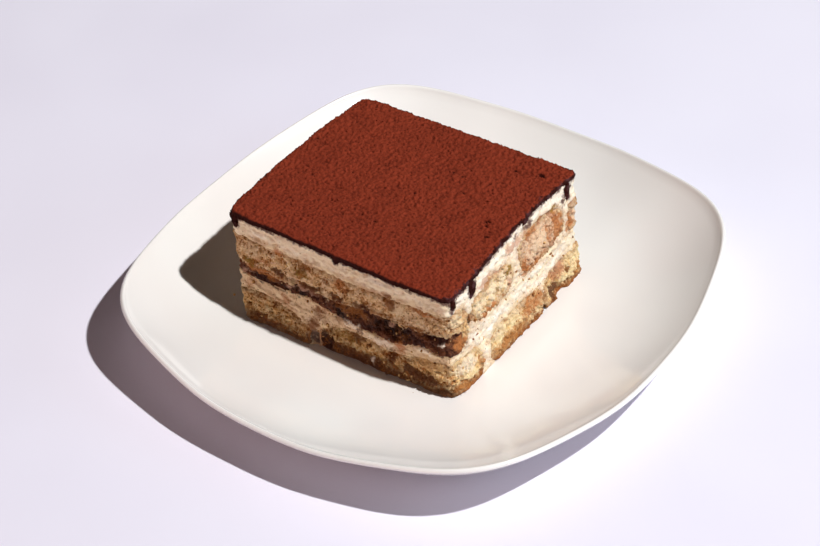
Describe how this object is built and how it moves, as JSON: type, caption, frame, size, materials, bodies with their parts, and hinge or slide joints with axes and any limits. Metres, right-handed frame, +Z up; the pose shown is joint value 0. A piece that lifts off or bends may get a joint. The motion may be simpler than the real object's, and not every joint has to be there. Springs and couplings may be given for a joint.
{
  "type": "tiramisu slice",
  "caption": "Square-cut layered sponge and cream dessert with a cocoa-dusted top, on a rounded-square coupe plate",
  "frame": {"origin": "on the table under the middle of the plate", "axes": "+Z up, +X and -Y out of the two cut faces turned to the viewer; the ladyfingers lie along X"},
  "size_m": [0.2, 0.2, 0.0529],
  "materials": {
    "porcelain": "warm white glossy glaze",
    "mascarpone_cream": "soft satin whipped cream",
    "sponge": "porous open crumb, coffee stained",
    "base_sponge": "porous open crumb with a browned underside",
    "coffee_soak": "wet coffee and cocoa",
    "cocoa": "matte sifted cocoa powder"
  },
  "bodies": {
    "root": {"plate": "porcelain", "soaked_layer": "coffee_soak", "cream_lower": "mascarpone_cream", "cream_upper": "mascarpone_cream", "cocoa_top": "cocoa", "upper_ladyfinger_1": "sponge", "upper_ladyfinger_2": "sponge", "upper_ladyfinger_3": "sponge", "upper_ladyfinger_4": "sponge", "lower_ladyfinger_1_left": "base_sponge", "lower_ladyfinger_1_right": "base_sponge", "lower_ladyfinger_2": "base_sponge", "lower_ladyfinger_3": "base_sponge"}
  },
  "joints": []
}
